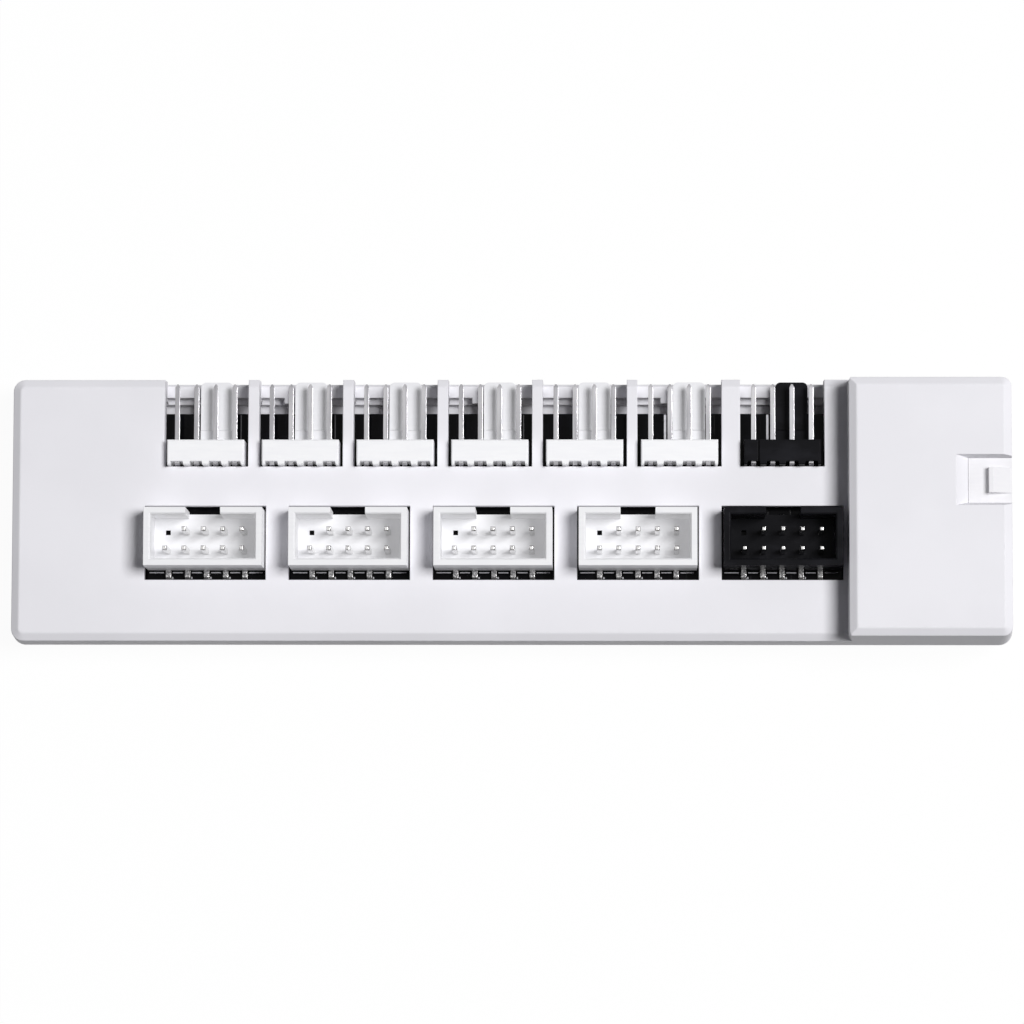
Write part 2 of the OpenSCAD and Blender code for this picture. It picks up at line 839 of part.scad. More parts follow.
// Can of the supply capacitor, with its crimp groove
module bulk_capacitor() {
    r = capacitor_d / 2;
    low = board_top + capacitor_foot;
    top = board_top + capacitor_height;
    color("silver")
        translate([capacitor_x, capacitor_y, 0])
            rotate_extrude()
                polygon([
                    [0, low], [r - 0.2, low], [r, low + 0.3], [r, low + 0.9], [r - 0.3, low + 1.15],
                    [r, low + 1.4], [r, top - 0.4], [r - 0.4, top], [0, top]
                ]);
}

// Moulded foot of the supply capacitor, with two cut corners that mark its polarity
module capacitor_base() {
    s = capacitor_d / 2 + capacitor_rim;
    c = 1.2;
    color("#202024")
        translate([capacitor_x, capacitor_y, board_top])
            linear_extrude(capacitor_foot)
                polygon([[-s, -s], [s - c, -s], [s, -s + c], [s, s - c], [s - c, s], [-s, s]]);
}

// Two resettable fuses with metal ends, left of the power header's pins
fuse_size = [3.6, 3.2, 0.8];
fuse_end = [0.7, 2.4, 0.9];
fuse_pitch = 4.6;
fuse_gap = 0.3;
fuse_x = power_tail_x - power_pitch - pin_size / 2 - fuse_gap - fuse_size[0] / 2 - fuse_end[0] / 2;

module resettable_fuses() {
    color("#3c5a46")
        for (row = [-1, 0])
            translate([fuse_x, power_y + (row + 0.3) * fuse_pitch, board_top]) {
                translate([-fuse_size[0] / 2, -fuse_size[1] / 2, 0])
                    cube(fuse_size);
                for (side = [-1, 1])
                    translate([(side * fuse_size[0] - fuse_end[0]) / 2, -fuse_end[1] / 2, 0])
                        cube(fuse_end);
            }
}

// Small flat chip with leads that step down at its left and right
module flat_chip(x) {
    body = [3, 3.2, 1];
    leads = 5;
    lead_pitch = 0.65;
    lead_width = 0.25;
    root = body[0] / 2 - fine_gap;
    knee = body[0] / 2 + 0.35;
    tip = body[0] / 2 + 1;
    color("#1c1c20")
        translate([x, (board_front + window_front) / 2, board_top]) {
            translate([-body[0] / 2, -body[1] / 2, fine_gap])
                cube(body);
            for (side = [-1, 1], i = [0:leads - 1])
                translate([0, (i - (leads - 1) / 2) * lead_pitch, 0])
                    rotate([0, 0, -90 * side])
                        along_x(lead_width)
                            polygon([
                                [root, 0.5], [root, 0.7], [knee, 0.7], [knee + 0.15, 0.18], [tip, 0.18],
                                [tip, 0], [knee, 0], [knee - 0.15, 0.5]
                            ]);
        }
}

// Both chips lie under the front of the deck, between two light headers
module fan_buffer_chip() {
    flat_chip(light_spots[0] + light_pitch / 2);
}

module light_buffer_chip() {
    flat_chip(light_spots[3] + light_pitch / 2);
}

// Surge diode at the supply input, between the capacitor and the screw
diode_size = [4.2, 2.6, 1.6];
diode_end = [0.7, 1.4, 0.5];
diode_gap = 1;

module surge_diode() {
    color("#1c1c20")
        translate([capacitor_x + capacitor_d + 0.5, power_side - diode_gap - diode_size[1] / 2, board_top]) {
            translate([-diode_size[0] / 2, -diode_size[1] / 2, fine_gap / 2])
                cube(diode_size);
            for (side = [-1, 1])
                translate([side * diode_size[0] / 2 - diode_end[0] / 2, -diode_end[1] / 2, 0])
                    cube(diode_end);
        }
}

// Chip part with metal ends, lying along X
module chip_part(size) {
    end_length = size[0] / 6;
    plating = size[0] / 60;
    translate([-size[0] / 2 + plating, -size[1] / 2 + plating, 0])
        cube([size[0] - 2 * plating, size[1] - 2 * plating, size[2] - plating]);
    for (side = [-1, 1])
        translate([(side * (size[0] - end_length) - end_length) / 2, -size[1] / 2, 0])
            cube([end_length, size[1], size[2]]);
}

// Decoupling capacitors between the light headers
capacitor_chip_size = [2, 1.25, 1.1];

module chip_capacitors() {
    color("#b09878")
        for (x = light_spots)
            translate([x + light_pitch / 2, light_y, board_top])
                rotate([0, 0, 90])
                    chip_part(capacitor_chip_size);
}

// Series resistors in front of the fan headers
resistor_size = [1.6, 0.8, 0.45];
resistor_gap = 1.8;

module chip_resistors() {
    color("#26262a")
        for (x = bay_spots)
            translate([x, window_back + resistor_gap, board_top])
                chip_part(resistor_size);
}

bottom_shell();
top_cover();
circuit_board();
case_screws();
fan_header(bay_spots[0], "white");  // fan_header_1
fan_header(bay_spots[1], "white");  // fan_header_2
fan_header(bay_spots[2], "white");  // fan_header_3
fan_header(bay_spots[3], "white");  // fan_header_4
fan_header(bay_spots[4], "white");  // fan_header_5
fan_header(bay_spots[5], "white");  // fan_header_6
fan_header(signal_x, "#26262a", grooved = true);  // fan_header_signal
fan_pins(bay_spots[0]);  // fan_pins_1
fan_pins(bay_spots[1]);  // fan_pins_2
fan_pins(bay_spots[2]);  // fan_pins_3
fan_pins(bay_spots[3]);  // fan_pins_4
fan_pins(bay_spots[4]);  // fan_pins_5
fan_pins(bay_spots[5]);  // fan_pins_6
fan_pins(signal_x);  // fan_pins_signal
light_header(light_spots[0], "white");  // light_header_1
light_header(light_spots[1], "white");  // light_header_2
light_header(light_spots[2], "white");  // light_header_3
light_header(light_spots[3], "white");  // light_header_4
light_header(signal_x, "#26262a");  // light_header_signal
light_pins(light_spots[0]);  // light_pins_1
light_pins(light_spots[1]);  // light_pins_2
light_pins(light_spots[2]);  // light_pins_3
light_pins(light_spots[3]);  // light_pins_4
light_pins(signal_x);  // light_pins_signal
power_header();
power_pins();
bulk_capacitor();
capacitor_base();
resettable_fuses();
fan_buffer_chip();
light_buffer_chip();
surge_diode();
chip_capacitors();
chip_resistors();
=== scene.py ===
# %% [markdown]
# A hub for fans and light strips lies on white and is seen from almost straight above. The solids
# come from the CAD model as a fixed frame. This script gives each of them a finish. Then it adds the
# printed lines, tracks, pads and solder that are too fine for the CAD model, and last the light, the
# world and the floor.

# %% Load the CAD model
import math

import bmesh
import bpy
from mathutils import Matrix, Vector


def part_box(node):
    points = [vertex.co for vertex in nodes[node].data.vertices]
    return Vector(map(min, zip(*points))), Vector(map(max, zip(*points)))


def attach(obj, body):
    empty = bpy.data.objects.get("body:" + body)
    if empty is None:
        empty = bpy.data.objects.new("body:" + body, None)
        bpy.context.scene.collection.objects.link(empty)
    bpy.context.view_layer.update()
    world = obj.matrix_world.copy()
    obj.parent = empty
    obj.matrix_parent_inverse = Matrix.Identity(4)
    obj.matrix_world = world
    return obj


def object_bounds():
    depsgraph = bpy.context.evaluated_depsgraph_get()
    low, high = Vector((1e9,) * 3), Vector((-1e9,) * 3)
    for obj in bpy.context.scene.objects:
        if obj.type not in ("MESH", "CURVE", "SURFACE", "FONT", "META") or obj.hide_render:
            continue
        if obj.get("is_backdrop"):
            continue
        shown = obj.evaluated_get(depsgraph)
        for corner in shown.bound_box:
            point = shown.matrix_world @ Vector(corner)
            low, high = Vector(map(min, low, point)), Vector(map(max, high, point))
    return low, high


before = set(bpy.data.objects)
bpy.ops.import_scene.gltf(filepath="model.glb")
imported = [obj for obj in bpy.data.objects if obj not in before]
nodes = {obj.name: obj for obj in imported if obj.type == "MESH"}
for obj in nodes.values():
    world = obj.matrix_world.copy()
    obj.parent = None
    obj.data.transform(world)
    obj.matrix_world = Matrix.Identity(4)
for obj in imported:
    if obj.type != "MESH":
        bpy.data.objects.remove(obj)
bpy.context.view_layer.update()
MM = 0.001

# %% [markdown]
# The camera comes first, because every later choice is judged through it. A long lens from 0.7 metres
# flattens the view as in a product photo. The camera stands a little in front of the hub and to its
# right, so it sees the front wall and the inner sides of the upright headers. Its place is given from
# the height of the deck, because the deck is the level that fills the picture.

# %% Camera
DECK_HEIGHT = 8.9 * MM
CAMERA_PLACE = Vector((15.5 * MM, -70 * MM, DECK_HEIGHT + 688 * MM))
CAMERA_TARGET = Vector((0.14 * MM, -0.31 * MM, DECK_HEIGHT))
LENS_IN_MM = 183.8
SENSOR_IN_MM = 36
ROLL = math.radians(0.13)


def add_object(name, data):
    """Puts a new object with that mesh, lamp or camera data into the scene."""
    made = bpy.data.objects.new(name, data)
    bpy.context.scene.collection.objects.link(made)
    return made


camera_data = bpy.data.cameras.new("camera")
camera_data.lens = LENS_IN_MM
camera_data.sensor_width = SENSOR_IN_MM
camera_data.clip_start = 0.05
camera_data.clip_end = 10
camera = add_object("camera", camera_data)
look = (CAMERA_TARGET - CAMERA_PLACE).normalized()
right = look.cross(Vector((0, 1, 0))).normalized()
upward = right.cross(look)
turn = Matrix((right, upward, -look)).transposed()
camera.location = CAMERA_PLACE
camera.rotation_mode = "QUATERNION"
camera.rotation_quaternion = (turn @ Matrix.Rotation(ROLL, 3, "Z")).to_quaternion()
bpy.context.scene.camera = camera
print("camera distance in mm:", round((CAMERA_TARGET - CAMERA_PLACE).length / MM, 1))

# %% [markdown]
# Shader maths reads best as plain expressions. This small class wraps a socket of a node, so that
# `1 - mask * 0.5` adds the Math nodes by itself. Colours go through Mix nodes instead, because a Math
# node would turn a colour grey.

# %% Shader maths as expressions
class Value:
    """A socket of a node tree, with arithmetic that adds Math nodes."""

    def __init__(self, tree, socket):
        self.tree = tree
        self.socket = socket

    def _maths(self, operation, *values):
        return self.tree.node("ShaderNodeMath", {"operation": operation}, dict(enumerate(values)))

    def __add__(self, other):
        return self._maths("ADD", self, other)

    def __mul__(self, other):
        return self._maths("MULTIPLY", self, other)

    def __sub__(self, other):
        return self._maths("SUBTRACT", self, other)

    def __rsub__(self, other):
        return self._maths("SUBTRACT", other, self)

    __radd__ = __add__
    __rmul__ = __mul__

    def highest(self, other):
        return self._maths("MAXIMUM", self, other)

    def within(self, low, high):
        """0 below low, 1 above high and a smooth step between them."""
        settings = {"interpolation_type": "SMOOTHSTEP"}
        values = {"Value": self, "From Min": low, "From Max": high}
        return self.tree.node("ShaderNodeMapRange", settings, values)


# %% [markdown]
# Materials and the world are both node trees, so they share one class. Its method `node` makes every
# node: it sets the node's settings first and then its sockets, each to a number or to a link. The Light
# Path node tells which rays show a surface: those from the camera, and those that mirror or pass through.

# %% A tree of nodes
class Tree:
    """The node tree of a material or a world, whose end is the output's Surface socket."""

    def __init__(self, owner, output_kind):
        owner.use_nodes = True
        self.nodes = owner.node_tree.nodes
        self.links = owner.node_tree.links
        self.nodes.clear()
        self.end = self.nodes.new(output_kind).inputs["Surface"]

    def node(self, kind, settings, values, output=0):
        made = self.nodes.new(kind)
        for name, value in settings.items():
            setattr(made, name, value)
        for key, value in values.items():
            self.join(value, made.inputs[key])
        return Value(self, made.outputs[output])

    def join(self, value, socket):
        if isinstance(value, Value):
            self.links.new(value.socket, socket)
        else:
            socket.default_value = value

    def showing_rays(self):
        """1 for the rays that show a surface, 0 for those that only carry its light."""
        names = ("Is Camera Ray", "Is Glossy Ray", "Is Transmission Ray")
        seen, mirrored, through = [self.node("ShaderNodeLightPath", {}, {}, name) for name in names]
        return seen.highest(mirrored).highest(through)


# %% [markdown]
# A finish is one material. Its tree starts with a Principled shader and the Object coordinates, which
# count metres from the hub's own origin, so a pattern keeps its real size on every piece.

# %% A sheet holds the nodes of one finish
class Sheet(Tree):
    """The tree of one material, with its shader and its Object coordinates."""

    def __init__(self, name):
        self.material = bpy.data.materials.new(name)
        super().__init__(self.material, "ShaderNodeOutputMaterial")
        self.shader = self.nodes.new("ShaderNodeBsdfPrincipled")
        self.links.new(self.shader.outputs["BSDF"], self.end)
        self.place = self.node("ShaderNodeTexCoord", {}, {}, "Object")

    def set(self, **values):
        """Sets the shader's own sockets, named as in the editor with _ for each space."""
        for name, value in values.items():
            self.join(value, self.shader.inputs[name.replace("_", " ")])

    def along(self, axis):
        """The place along X, Y or Z, in metres."""
        return self.node("ShaderNodeSeparateXYZ", {}, {"Vector": self.place}, axis)

    def noise(self, size, detail=2, stretch=(1, 1, 1)):
        """Soft noise with a grain of that size, in metres."""
        place = self.node("ShaderNodeMapping", {}, {"Vector": self.place, "Scale": stretch})
        return self.node("ShaderNodeTexNoise", {}, {"Vector": place, "Scale": 1 / size, "Detail": detail})

    def mix(self, factor, first, second):
        """A colour between two colours."""
        return self.node("ShaderNodeMix", {"data_type": "RGBA"}, {0: factor, 6: first, 7: second}, 2)

    def relief(self, height, depth, edge):
        """Bumps of that depth in metres, over edges rounded off by the radius edge."""
        rounded = self.node("ShaderNodeBevel", {"samples": 6}, {"Radius": edge})
        values = {"Height": height, "Distance": depth, "Normal": rounded}
        self.set(Normal=self.node("ShaderNodeBump", {}, values))


# %% [markdown]
# Colours are easiest to compare as a screen shows them, from 0 to 255, but the renderer counts in light.
# One function turns the first into the second, and another puts a finish on CAD nodes.

# %% Colours and CAD nodes
def colour(red, green, blue):
    """The colour that a screen shows for these values from 0 to 255, in the renderer's linear scale."""
    parts = [value / 255 for value in (red, green, blue)]
    linear = [part / 12.92 if part <= 0.04045 else ((part + 0.055) / 1.055) ** 2.4 for part in parts]
    return (*linear, 1)


def finish_nodes(sheet, *names):
    """Gives a finish to CAD nodes."""
    for name in names:
        mesh = nodes[name].data
        mesh.materials.clear()
        mesh.materials.append(sheet.material)
    print(sheet.material.name, "on", ", ".join(names))


FAN_KEYS = ["1", "2", "3", "4", "5", "6", "signal"]
LIGHT_KEYS = ["1", "2", "3", "4", "signal"]
WHITE = colour(255, 255, 255)

# %% [markdown]
# The two shells are one white plastic, moulded in a tool with a fine sparked texture. Up close it has
# grains of about 0.15 millimetre that break up the gloss. Noise in Object coordinates gives them, and
# a slower noise shifts the tone by about one part in a hundred, as the flow of the melt does.

# %% White case plastic
CASE_WHITE = colour(235, 234, 239)
CASE_SHADE = colour(232, 231, 236)


def case_plastic():
    sheet = Sheet("case_plastic")
    flow = sheet.noise(14 * MM, 3)
    grain = sheet.noise(0.16 * MM, 3)
    speck = sheet.noise(0.5 * MM, 2)
    sheet.set(
        Base_Color=sheet.mix(flow.within(0.35, 0.65), CASE_WHITE, CASE_SHADE),
        Roughness=0.48 + grain * 0.1 + speck * 0.05,
        Specular_IOR_Level=0.3,
    )
    sheet.relief(grain + speck * 0.5, 0.005 * MM, 0.2 * MM)
    return sheet


finish_nodes(case_plastic(), "top_cover", "bottom_shell")

# %% [markdown]
# The nylon gets painted shade and a stronger painted glow on some parts of a piece. A small function
# says where: on the locking tongues behind the fan headers' bases, or in the wells of the upright
# headers, inside the front wall and below the rim. Each gives a mask from the place along an axis, with a
# soft step of 0.2 millimetre.

# %% Places on a piece
TONGUE_START = 9.35 * MM
RIM_DEPTH = 0.3 * MM
WELL_WALL = 0.95 * MM


def past(place, edge):
    """0 before the edge and 1 past it."""
    return place.within(edge - 0.1 * MM, edge + 0.1 * MM)


def nowhere(sheet):
    return 0


def on_tongue(sheet):
    return past(sheet.along("Y"), TONGUE_START)


def in_well(sheet):
    low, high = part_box("light_header_1")
    below_rim = 1 - past(sheet.along("Z"), high.z - RIM_DEPTH)
    return below_rim * past(sheet.along("Y"), low.y + WELL_WALL)


print("tongues start at y", round(TONGUE_START / MM, 2), "mm")

# %% [markdown]
# The headers are nylon. It is brighter than the case, and light that enters its lit walls comes out
# again inside the wells, so the shadows there stay pale. True scattering would lose that light into the
# black board below such thin walls, so a painted glow stands for it: the nylon emits a little light of
# its own. On the locking tongues and in the wells the nylon is painted greyer and glows brighter and
# whiter, which is painted shade on their lit parts and painted light in their shadows. The melt left
# faint streaks across them.

# %% White nylon
# Painted glow on all the nylon: emission that stands for light scattered out of its lit walls.
GLOW = colour(200, 200, 202)
GLOW_STRENGTH = 0.16


def white_plastic(name, tone, streak, painted_shade_tone, find_painted_light):
    """White nylon, painted greyer and given a stronger painted glow where the mask function says so."""
    sheet = Sheet(name)
    painted_light_mask = find_painted_light(sheet)
    swirl = sheet.noise(2.2 * MM, 3, (0.5, 1, 1))
    streaks = sheet.noise(0.35 * MM, 2, (0.12, 1, 1))
    grain = sheet.noise(0.09 * MM, 2)
    melt = sheet.mix((swirl * 0.5 + streaks * 0.5).within(0.35, 0.65), tone, streak)
    sheet.set(
        Base_Color=sheet.mix(painted_light_mask * (0.8 + streaks * 0.4), melt, painted_shade_tone),
        Roughness=0.36 + swirl * 0.08 + grain * 0.05,
        Specular_IOR_Level=0.35,
        Emission_Color=sheet.mix(painted_light_mask * (0.9 + swirl * 0.2), GLOW, WHITE),
        Emission_Strength=GLOW_STRENGTH,
    )
    sheet.relief(grain + streaks * 2, 0.0025 * MM, 0.08 * MM)
    return sheet


# The third tone of each set is painted shade on the tongues and in the wells, where the painted glow is
# stronger.
fan_tones = colour(236, 236, 238), colour(232, 232, 235), colour(206, 206, 210)
light_tones = colour(229, 229, 231), colour(225, 225, 228), colour(212, 212, 215)
power_tones = colour(221, 220, 223), colour(218, 217, 221), colour(221, 220, 223)
fan_nylon = white_plastic("fan_nylon", *fan_tones, on_tongue)
light_nylon = white_plastic("light_nylon", *light_tones, in_well)
finish_nodes(fan_nylon, *["fan_header_" + key for key in FAN_KEYS[:-1]])
finish_nodes(light_nylon, *["light_header_" + key for key in LIGHT_KEYS[:-1]])
finish_nodes(white_plastic("power_nylon", *power_tones, nowhere), "power_header")

# %% [markdown]
# Carbon black makes the same nylon opaque, and a polished tool gives it a soft gloss. Its colour is
# close to nothing, so what the eye reads is the light on its rounded edges and the faint flow marks.

# %% Black nylon
def black_plastic():
    sheet = Sheet("black_nylon")
    swirl = sheet.noise(2.6 * MM, 3, (0.6, 1, 1))
    grain = sheet.noise(0.12 * MM, 3)
    sheet.set(
        Base_Color=sheet.mix(swirl.within(0.4, 0.7), colour(17, 17, 20), colour(27, 27, 31)),
        Roughness=0.2 + swirl * 0.1 + grain * 0.05,
        Specular_IOR_Level=0.04,
    )
    sheet.relief(grain + swirl * 3, 0.003 * MM, 0.1 * MM)
    return sheet


finish_nodes(black_plastic(), "fan_header_signal", "light_header_signal")

# %% [markdown]
# Header pins are drawn square wire with a tin plating. Drawing leaves fine lines along the wire, and
# the plating has soft clouds. The lines run along each pin, so the noise is stretched along Y for the
# lying pins, Z for the standing ones and X for the power pins. All pins carry the same plating: the lying
# pins' tin is painted darker, as painted shade on their long flanks, and the standing pins' tin brighter,
# as a painted highlight on their tips. A standing pin's foot is soldered to the board, and the flux
# leaves dull patches there.

# %% Tin plating
FLUX_GREY = colour(88, 88, 92)
FOOT_LOW, FOOT_HIGH = 6.6 * MM, 7 * MM


def flux_on_feet(sheet):
    foot = 1 - sheet.along("Z").within(FOOT_LOW, FOOT_HIGH)
    return foot * sheet.noise(0.25 * MM, 2).within(0.3, 0.6)


def tin_plating(name, bright, dull, stretch, rough, find_flux=nowhere):
    sheet = Sheet(name)
    lines = sheet.noise(0.08 * MM, 2, stretch)
    clouds = sheet.noise(0.9 * MM, 3, stretch)
    metal = sheet.mix(clouds.within(0.35, 0.7), bright, dull)
    sheet.set(
        Base_Color=sheet.mix(find_flux(sheet) * 0.8, metal, FLUX_GREY),
        Metallic=1.0,
        Roughness=rough + clouds * 0.06 + lines * 0.05,
    )
    sheet.relief(lines, 0.0012 * MM, 0.1 * MM)
    return sheet


# Same plating twice: the lying pins' tones are painted shade, the standing pins' tones a painted
# highlight.
lying_shaded_tones = colour(188, 187, 190), colour(156, 155, 159)
standing_lit_tones = colour(226, 225, 224), colour(205, 204, 203)
power_pin_tones = colour(200, 199, 198), colour(170, 169, 168)
lying = tin_plating("tin_lying", *lying_shaded_tones, (1, 0.1, 1), 0.14)
standing = tin_plating("tin_standing", *standing_lit_tones, (1, 1, 0.1), 0.1, flux_on_feet)
finish_nodes(lying, *["fan_pins_" + key for key in FAN_KEYS])
finish_nodes(standing, *["light_pins_" + key for key in LIGHT_KEYS])
finish_nodes(tin_plating("tin_along", *power_pin_tones, (0.1, 1, 1), 0.14), "power_pins")

# %% [markdown]
# The board is covered with glossy black solder mask. The copper under it stands out by a hundredth of a
# millimetre, so its surface shows faint steps where copper areas end. A Voronoi pattern with square cells
# gives the gaps between those areas. The cut edge stays bare laminate, which the normal picks out.

# %% Black solder mask
MASK_BLACK = colour(8, 8, 10)
MASK_OVER_COPPER = colour(11, 11, 14)
LAMINATE = colour(92, 84, 60)
COPPER_AREA = 3.4 * MM


def solder_mask():
    sheet = Sheet("solder_mask")
    squares = {"Vector": sheet.place, "Scale": 1 / COPPER_AREA}
    cells = sheet.node("ShaderNodeTexVoronoi", {"distance": "CHEBYCHEV"}, squares)
    gap = cells.within(0.36, 0.4)
    dust = sheet.noise(0.05 * MM, 2)
    normal = sheet.node("ShaderNodeNewGeometry", {}, {}, "Normal")
    facing = sheet.node("ShaderNodeSeparateXYZ", {}, {"Vector": normal}, "Z")
    edge = 1 - (facing * facing).within(0.3, 0.6)
    face = sheet.mix(gap, MASK_OVER_COPPER, MASK_BLACK)
    sheet.set(
        Base_Color=sheet.mix(edge, face, LAMINATE),
        Roughness=0.1 + dust * 0.05 + edge * 0.5,
        Specular_IOR_Level=0.05,
    )
    sheet.relief(dust * 0.02 - gap, 0.01 * MM, 0.02 * MM)
    return sheet


finish_nodes(solder_mask(), "circuit_board")

# %% [markdown]
# The screws are steel with a thin zinc plating, which is blotchy and picks up fine scratches. The large
# capacitor is drawn aluminium with fine rings up its side, so its noise is stretched along X and Y and
# changes quickly only along Z.

# %% Screws and can
def zinc_steel():
    sheet = Sheet("zinc_steel")
    blotch = sheet.noise(0.6 * MM, 3)
    scratch = sheet.noise(0.05 * MM, 2, (1, 0.2, 1))
    sheet.set(
        Base_Color=sheet.mix(blotch.within(0.3, 0.7), colour(196, 197, 200), colour(168, 168, 170)),
        Metallic=1.0,
        Roughness=0.28 + blotch * 0.15 + scratch * 0.1,
    )
    sheet.relief(scratch, 0.005 * MM, 0.08 * MM)
    return sheet


def can_aluminium():
    sheet = Sheet("can_aluminium")
    rings = sheet.noise(0.12 * MM, 2, (0.1, 0.1, 1))
    sheet.set(
        Base_Color=sheet.mix(rings, colour(214, 215, 218), colour(188, 189, 193)),
        Metallic=1.0,
        Roughness=0.3 + rings * 0.15,
    )
    sheet.relief(rings, 0.004 * MM, 0.06 * MM)
    return sheet


finish_nodes(zinc_steel(), "case_screws")
finish_nodes(can_aluminium(), "bulk_capacitor")

# %% [markdown]
# The small parts on the board hardly show, but each still has its own finish: matt moulding for the
# chips, glassy green for the fuses and tan ceramic for the capacitors. They share one function, because
# they differ only in tone, in the size of their patches and in their gloss.

# %% Board parts
def moulded_part(name, tone, second, size, rough):
    sheet = Sheet(name)
    patch = sheet.noise(size, 3)
    grain = sheet.noise(0.06 * MM, 2)
    sheet.set(
        Base_Color=sheet.mix(patch.within(0.35, 0.65), tone, second),
        Roughness=rough + grain * 0.2,
    )
    sheet.relief(grain, 0.006 * MM, 0.05 * MM)
    return sheet


chip_black = moulded_part("chip_black", colour(34, 34, 36), colour(28, 28, 30), 0.5 * MM, 0.55)
fuse_glass = moulded_part("fuse_glass", colour(58, 92, 70), colour(50, 80, 62), 0.4 * MM, 0.4)
ceramic = moulded_part("ceramic", colour(166, 140, 108), colour(150, 124, 94), 0.3 * MM, 0.45)
finish_nodes(chip_black, "fan_buffer_chip", "light_buffer_chip", "surge_diode")
finish_nodes(chip_black, "chip_resistors", "capacitor_base")
finish_nodes(fuse_glass, "resettable_fuses")
finish_nodes(ceramic, "chip_capacitors")

# %% [markdown]
# What is too fine for the CAD model is made here: printed lines, tracks, pads and solder. They all start
# as a plate between two corners. A cube primitive is stretched to the plate's size, and a bevel on some
# of its edges gives it the rounded outline of ink, or the soft shoulders of solder.

# %% Plates with rounded edges
board_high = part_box("circuit_board")[1]
board_top = board_high.z


def add_plate(shape, low, high, radius, pick):
    """Adds a plate between two corners to a bmesh and rounds the edges that pick chooses."""
    low, high = Vector(low), Vector(high)
    place = Matrix.Translation((low + high) / 2) @ Matrix.Diagonal((*(high - low), 1))
    verts = bmesh.ops.create_cube(shape, size=1, matrix=place)["verts"]
    edges = list({edge for vert in verts for edge in vert.link_edges if pick(edge)})
    bmesh.ops.bevel(
        shape, geom=edges, offset=radius, segments=3, profile=0.5, affect="EDGES", material=-1
    )


def upright(edge):
    return abs(edge.verts[0].co.z - edge.verts[1].co.z) > 1e-6


def above_board(edge):
    return max(vert.co.z for vert in edge.verts) > board_top + 0.05 * MM


def to_mesh(name, shape, sheet):
    """Turns a bmesh into a mesh with that finish."""
    mesh = bpy.data.meshes.new(name)
    shape.to_mesh(mesh)
    shape.free()
    mesh.materials.append(sheet.material)
    return mesh


def finish_piece(name, shape, sheet):
    """Turns a bmesh into a piece of the hub, with its finish, attached to the hub's root."""
    bmesh.ops.recalc_face_normals(shape, faces=shape.faces)
    mesh = to_mesh(name, shape, sheet)
    piece = add_object(name, mesh)
    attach(piece, "root")
    print(name, "has", len(mesh.polygons), "faces")


print("top of the board in mm:", round(board_top / MM, 2))

# %% [markdown]
# White ink on the board frames each upright header: a thin line in front of it, broken where the feet
# lie, and a short tick beside four of the feet. Two of the bays show one more line that runs from the
# fan header to the board's edge. The places come from the boxes of the CAD nodes and the pin pitch.

# %% Printed lines
PITCH = 2.54 * MM
INK_HEIGHT = 0.02 * MM
LINE_WIDTH = 0.14 * MM
INK_RADIUS = LINE_WIDTH * 0.4
LINE_AHEAD, TICK_AHEAD = 0.31 * MM, 1.01 * MM
TICK_START, TICK_END = 0.46 * MM, 0.64 * MM
GAP_LEFT, GAP_RIGHT = 0.62 * MM, 0.56 * MM
INSET_LEFT, INSET_RIGHT = 0.15 * MM, 0.35 * MM
BAY_LINE_START = 9 * MM
BAY_LINE_MARGIN = 0.1 * MM


def ink_line(shape, x0, x1, y0, y1):
    add_plate(shape, (x0, y0, board_top), (x1, y1, board_top + INK_HEIGHT), INK_RADIUS, upright)


def foot_places(key):
    """The places along X of the five feet in front of an upright header."""
    low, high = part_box("light_header_" + key)
    return [(low.x + high.x) / 2 + step * PITCH for step in (-2, -1, 0, 1, 2)]


def header_lines(shape, key):
    """The broken line and the ticks in front of one upright header."""
    low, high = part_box("light_header_" + key)
    line_y, tick_y = low.y - LINE_AHEAD, low.y - TICK_AHEAD
    feet = foot_places(key)
    starts = [low.x + INSET_LEFT] + [foot + GAP_RIGHT for foot in feet]
    ends = [foot - GAP_LEFT for foot in feet] + [high.x - INSET_RIGHT]
    for start, end in zip(starts, ends):
        ink_line(shape, start, end, line_y - LINE_WIDTH / 2, line_y + LINE_WIDTH / 2)
    for foot in feet[:-1]:
        ink_line(shape, foot + TICK_START, foot + TICK_END, tick_y - LINE_WIDTH, tick_y + LINE_WIDTH)


def bay_line(shape, key, offset, width):
    """A line from a fan header to the board's back edge, that far from the middle of its pins."""
    low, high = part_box("fan_pins_" + key)
    x = (low.x + high.x) / 2 + offset
    ink_line(shape, x - width / 2, x + width / 2, BAY_LINE_START, board_high.y - BAY_LINE_MARGIN)


ink = moulded_part("white_ink", colour(214, 214, 218), colour(196, 196, 202), 0.4 * MM, 0.5)
print_shape = bmesh.new()
for key in LIGHT_KEYS:
    header_lines(print_shape, key)
for key in ("6", "signal"):
    bay_line(print_shape, key, offset=-1.89 * MM, width=0.3 * MM)
finish_piece("board_print", print_shape, ink)

# %% [markdown]
# In three other bays a copper track runs out to the board's edge beside the last pin. It is covered
# by the mask and only shows because it stands out a little and its mask is thinner, so it gets the
# same plate in a greyer finish.

# %% Tracks in the bays
track_mask = moulded_part("track_mask", colour(62, 62, 66), colour(46, 46, 50), 0.5 * MM, 0.3)
track_shape = bmesh.new()
for key in ("1", "2", "4"):
    bay_line(track_shape, key, offset=4.38 * MM, width=0.16 * MM)
finish_piece("board_tracks", track_shape, track_mask)

# %% [markdown]
# The feet of the upright headers are soldered to tinned pads. The pad is a flat plate, a tenth wider
# than the foot, and the solder climbs round the toe as a small bead with soft shoulders. A bevel over
# all the edges above the board gives that bead.

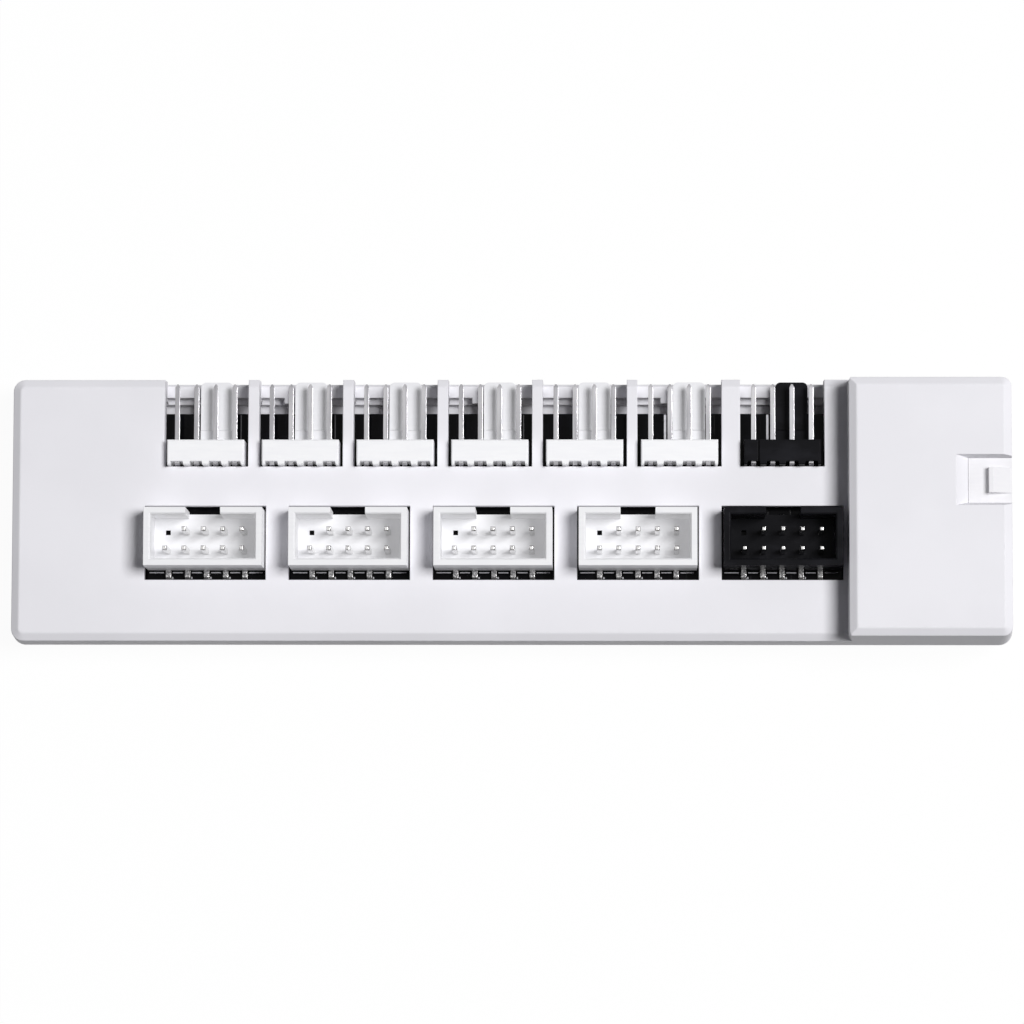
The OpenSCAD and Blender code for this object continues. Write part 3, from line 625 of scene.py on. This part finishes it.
# %% Pads and solder
FOOT_WIDTH = 0.64 * MM
HALF_PAD = Vector((FOOT_WIDTH * 1.1 / 2, 0, 0))
PAD_AHEAD, PAD_LENGTH, PAD_HEIGHT = 0.14 * MM, 1.6 * MM, 0.03 * MM
BEAD_AHEAD, BEAD_BEHIND, BEAD_HEIGHT = 0.1 * MM, 0.16 * MM, 0.46 * MM
SOFT_EDGE = 0.1 * MM

solder = tin_plating("solder", colour(214, 213, 212), colour(176, 175, 174), (1, 1, 1), 0.22)
pad_shape = bmesh.new()
bead_shape = bmesh.new()
for key in LIGHT_KEYS:
    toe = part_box("light_pins_" + key)[0].y
    for x in foot_places(key):
        low = Vector((x, toe - PAD_AHEAD, board_top)) - HALF_PAD
        high = Vector((x, toe + PAD_LENGTH, board_top + PAD_HEIGHT)) + HALF_PAD
        add_plate(pad_shape, low, high, SOFT_EDGE, upright)
        low = Vector((x, toe - BEAD_AHEAD, board_top)) - HALF_PAD
        high = Vector((x, toe + BEAD_BEHIND, board_top + BEAD_HEIGHT)) + HALF_PAD
        add_plate(bead_shape, low, high, SOFT_EDGE, above_board)
finish_piece("solder_pads", pad_shape, solder)
finish_piece("solder_beads", bead_shape, solder)

# %% [markdown]
# A soft box hangs to the right of the hub, 64 degrees over the horizon, so every raised part throws a
# shadow of half its height to the left. It is far enough away to light both ends of the hub alike. A
# weak, cool light from all sides keeps the shadows from going black. Together they light the deck at the
# level at which a colour renders about as it is written.

# %% Key light
def soft_box(name, azimuth, elevation, distance, width, power):
    """A square lamp that faces the hub; azimuth counts from +X towards +Y."""
    data = bpy.data.lights.new(name, "AREA")
    data.shape = "SQUARE"
    data.size = width
    data.energy = power
    sideways, up = math.radians(azimuth), math.radians(elevation)
    level = Vector((math.cos(sideways), math.sin(sideways), 0)) * math.cos(up)
    away = level + Vector((0, 0, math.sin(up)))
    lamp = add_object(name, data)
    lamp.location = away * distance
    lamp.rotation_mode = "QUATERNION"
    lamp.rotation_quaternion = away.to_track_quat("Z", "Y")


KEY_POWER = 59.5
soft_box("key", azimuth=12, elevation=64, distance=2.4, width=0.9, power=KEY_POWER)
print("key", KEY_POWER, "W")

# %% [markdown]
# The world does two jobs. Rays that carry diffuse light see the weak fill. Rays that show a surface see
# plain white, so that polished parts mirror the same white surroundings as the picture has.

# %% World
FILL_COLOUR = (0.92, 0.95, 1, 1)
FILL_STRENGTH = 0.04

world = bpy.data.worlds.new("studio")
bpy.context.scene.world = world
sky = Tree(world, "ShaderNodeOutputWorld")
fill = sky.node("ShaderNodeBackground", {}, {"Color": FILL_COLOUR, "Strength": FILL_STRENGTH})
backdrop = sky.node("ShaderNodeBackground", {}, {"Color": WHITE, "Strength": 1})
sky.join(sky.node("ShaderNodeMixShader", {}, {0: sky.showing_rays(), 1: fill, 2: backdrop}), sky.end)
print("fill", FILL_STRENGTH)

# %% [markdown]
# The floor shows as white but keeps a trace of the hub's shadow. For the rays that show it, most of it
# is a white glow and the rest is white paper that the lamp lights. All other rays see plain grey paper,
# so the floor throws no more light up at the walls than a studio table would. It lies a hair below the
# hub, so that the two don't share a plane.

# %% Floor
GLOW_SHARE = 0.96
PAPER_GREY = (0.42, 0.42, 0.42, 1)
FIBRE_GREY = (0.44, 0.44, 0.44, 1)
FLOOR_DROP = 0.2 * MM
FLOOR_HALF = 2


def floor_finish():
    sheet = Sheet("floor")
    fibre = sheet.noise(0.8 * MM, 3)
    sheet.set(
        Base_Color=sheet.mix(fibre, PAPER_GREY, FIBRE_GREY),
        Roughness=0.9,
        Specular_IOR_Level=0.0,
    )
    grey = Value(sheet, sheet.shader.outputs["BSDF"])
    paper = sheet.node("ShaderNodeBsdfDiffuse", {}, {"Color": WHITE})
    glow = sheet.node("ShaderNodeEmission", {}, {"Color": WHITE, "Strength": 1})
    white = sheet.node("ShaderNodeMixShader", {}, {0: GLOW_SHARE, 1: paper, 2: glow})
    shown = sheet.node("ShaderNodeMixShader", {}, {0: sheet.showing_rays(), 1: grey, 2: white})
    sheet.join(shown, sheet.end)
    return sheet


floor_shape = bmesh.new()
bmesh.ops.create_grid(floor_shape, x_segments=1, y_segments=1, size=FLOOR_HALF)
floor = add_object("floor", to_mesh("floor", floor_shape, floor_finish()))
floor.location.z = -FLOOR_DROP
floor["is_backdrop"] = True
print("floor", 2 * FLOOR_HALF, "m wide, glow share", GLOW_SHARE)

# %% [markdown]
# The picture is shown with the plain Standard transform, so colours come out as they are written. At the
# end the size of the dressed model is printed.

# %% View and sizes
bpy.context.scene.view_settings.view_transform = "Standard"
low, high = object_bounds()
print("visual box in mm:", [round(v / MM, 1) for v in high - low])
